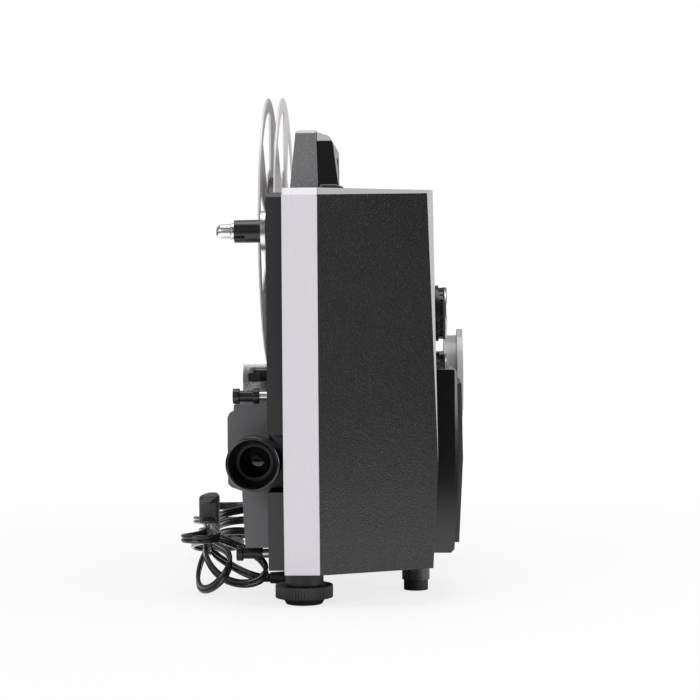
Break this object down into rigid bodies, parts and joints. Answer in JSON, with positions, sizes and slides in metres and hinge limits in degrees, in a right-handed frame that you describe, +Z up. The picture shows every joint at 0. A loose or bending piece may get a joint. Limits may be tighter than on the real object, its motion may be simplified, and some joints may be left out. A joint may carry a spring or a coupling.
{
  "type": "movie projector",
  "caption": "Small-gauge movie projector: silver chassis band, grained covers, carrying handle, focusing lens, reel spindles, levelling foot, lamp house, controls, coiled mains lead.",
  "frame": {"origin": "centre of the front levelling foot's rest face, on the floor", "axes": "+Z up; -Y towards the screen, the way the lens points; +X towards the control side"},
  "size_m": [0.1774, 0.2968, 0.299],
  "materials": {
    "silver_band": "brushed",
    "cast_grey": "satin",
    "film_side_plastic": "fine grain",
    "black_leather": "leather grain",
    "black_plastic": "satin",
    "door_plastic": "satin",
    "zinc_plate": "zinc plated",
    "screw_steel": "plated",
    "grip_grey": "grained",
    "foot_rubber": "matte",
    "knurled_plastic": "satin",
    "bright_steel": "polished",
    "housing_grey": "satin",
    "barrel_black": "gloss",
    "lens_glass": "coated",
    "gate_steel": "polished",
    "mirror_glass": "silvered",
    "sleeve_black": "satin",
    "reel_grey": "satin",
    "film_brown": "gloss",
    "pulley_metal": "turned",
    "shutter_black": "matte",
    "belt_rubber": "matte",
    "fan_plastic": "satin",
    "lamp_glass": "dichroic",
    "ceramic": "ceramic",
    "transformer_steel": "varnished",
    "switch_brown": "satin",
    "bush_metal": "turned",
    "knob_black": "satin",
    "dial_silver": "satin",
    "cord_black": "gloss",
    "tie_white": "paper covered",
    "plug_grey": "satin"
  },
  "bodies": {
    "chassis": {"trim_band": "silver_band", "chassis_plate": "cast_grey", "film_side_cover": "film_side_plastic", "right_cover": "black_leather", "lamp_house_cover": "black_plastic", "mechanism_plate": "zinc_plate", "cover_screws": "screw_steel", "handle_plinth": "black_plastic", "handle_core": "black_plastic", "handle_grip": "grip_grey", "rubber_feet": "foot_rubber", "foot_bush": "black_plastic", "lens_housing": "housing_grey", "gate_plate": "gate_steel", "pressure_spring": "gate_steel", "mirror": "mirror_glass", "roller_pins": "bright_steel", "film_guide": "gate_steel", "drive_belt": "belt_rubber", "takeup_belt": "belt_rubber", "motor": "zinc_plate", "lamp": "lamp_glass", "lamp_socket": "ceramic", "lamp_bracket": "zinc_plate", "transformer": "transformer_steel", "switch_block": "switch_brown", "knob_bushes": "bush_metal", "cord_gland": "cord_black", "cord_lead": "cord_black", "cord_hank": "cord_black", "cord_tie": "tie_white", "plug": "plug_grey"},
    "lamp_door": {"lamp_door": "door_plastic"},
    "levelling_stem": {"foot_stem": "bright_steel", "foot_pad": "foot_rubber"},
    "levelling_wheel": {"foot_wheel": "knurled_plastic"},
    "lens_carrier": {"lens_barrel": "barrel_black", "lens_elements": "lens_glass"},
    "focus_ring": {"lens_hood": "barrel_black"},
    "pressure_plate": {"pressure_plate": "gate_steel"},
    "claw": {"claw": "gate_steel"},
    "supply_spindle": {"supply_shaft": "bright_steel", "supply_sleeve": "sleeve_black"},
    "takeup_spindle": {"takeup_shaft": "bright_steel", "takeup_sleeve": "sleeve_black", "takeup_pulley": "pulley_metal", "reel_inner_flange": "reel_grey", "reel_outer_flange": "reel_grey", "wound_film": "film_brown"},
    "upper_roller": {"upper_roller": "sleeve_black"},
    "lower_roller": {"lower_roller": "sleeve_black"},
    "threading_lever": {"threading_lever": "sleeve_black"},
    "main_drive": {"main_shaft": "bright_steel", "shutter": "shutter_black", "main_pulley": "pulley_metal"},
    "motor_rotor": {"motor_rotor": "bright_steel", "fan": "fan_plastic"},
    "speed_knob": {"speed_knob": "knob_black"},
    "framing_knob": {"framing_knob": "knob_black"},
    "function_dial": {"function_dial": "dial_silver"}
  },
  "joints": [
    {"name": "lamp_door_slide", "type": "slide", "parent": "chassis", "child": "lamp_door", "axis": [1, 0, 0], "range_m": [0, 0.02]},
    {"name": "foot_slide", "type": "slide", "parent": "chassis", "child": "levelling_stem", "axis": [0, 0, -1], "range_m": [0, 0.012]},
    {"name": "foot_wheel_turn", "type": "hinge", "parent": "chassis", "child": "levelling_wheel", "pos_m": [0, 0, 0.006], "axis": [0, 0, 1], "continuous": true},
    {"name": "focus_slide", "type": "slide", "parent": "chassis", "child": "lens_carrier", "axis": [0, -1, 0], "range_m": [-0.0015, 0.0025]},
    {"name": "focus_turn", "type": "hinge", "parent": "lens_carrier", "child": "focus_ring", "pos_m": [-0.0264, -0.01, 0.0788], "axis": [0, -1, 0], "range_deg": [-140, 230]},
    {"name": "pressure_slide", "type": "slide", "parent": "chassis", "child": "pressure_plate", "axis": [0, 1, 0], "range_m": [0, 0.0009], "stiffness_N_per_m": 60, "springref_m": -0.001},
    {"name": "claw_stroke", "type": "slide", "parent": "chassis", "child": "claw", "axis": [0, 0, 1], "range_m": [-0.0021, 0.0021]},
    {"name": "supply_turn", "type": "hinge", "parent": "chassis", "child": "supply_spindle", "pos_m": [-0.03, 0.006, 0.2064], "axis": [1, 0, 0], "continuous": true},
    {"name": "takeup_turn", "type": "hinge", "parent": "chassis", "child": "takeup_spindle", "pos_m": [-0.03, 0.188, 0.21], "axis": [1, 0, 0], "continuous": true},
    {"name": "upper_roller_turn", "type": "hinge", "parent": "chassis", "child": "upper_roller", "pos_m": [-0.032, 0.009, 0.1146], "axis": [1, 0, 0], "continuous": true},
    {"name": "lower_roller_turn", "type": "hinge", "parent": "chassis", "child": "lower_roller", "pos_m": [-0.032, 0.021, 0.025], "axis": [1, 0, 0], "continuous": true},
    {"name": "threading_lever_turn", "type": "hinge", "parent": "chassis", "child": "threading_lever", "pos_m": [-0.025, 0.031, 0.1258], "axis": [1, 0, 0], "range_deg": [0, 25]},
    {"name": "main_turn", "type": "hinge", "parent": "chassis", "child": "main_drive", "pos_m": [0, 0.112, 0.0788], "axis": [1, 0, 0], "continuous": true},
    {"name": "motor_turn", "type": "hinge", "parent": "chassis", "child": "motor_rotor", "pos_m": [0.03, 0.165, 0.0608], "axis": [1, 0, 0], "continuous": true},
    {"name": "speed_turn", "type": "hinge", "parent": "chassis", "child": "speed_knob", "pos_m": [0.075, 0.11, 0.1593], "axis": [1, 0, 0], "range_deg": [-135, 135]},
    {"name": "framing_turn", "type": "hinge", "parent": "chassis", "child": "framing_knob", "pos_m": [0.075, 0.11, 0.1238], "axis": [1, 0, 0], "range_deg": [-120, 120]},
    {"name": "dial_turn", "type": "hinge", "parent": "chassis", "child": "function_dial", "pos_m": [0.08, 0.165, 0.1208], "axis": [1, 0, 0], "range_deg": [-120, 120]}
  ],
  "couplings": [
    {"joint": "foot_wheel_turn", "follows": "foot_slide", "rad_per_m": 2094.4},
    {"joint": "focus_turn", "follows": "focus_slide", "rad_per_m": 1570.8},
    {"joint": "main_turn", "follows": "takeup_turn", "ratio": 1.3333},
    {"joint": "motor_turn", "follows": "takeup_turn", "ratio": 5.3333}
  ]
}
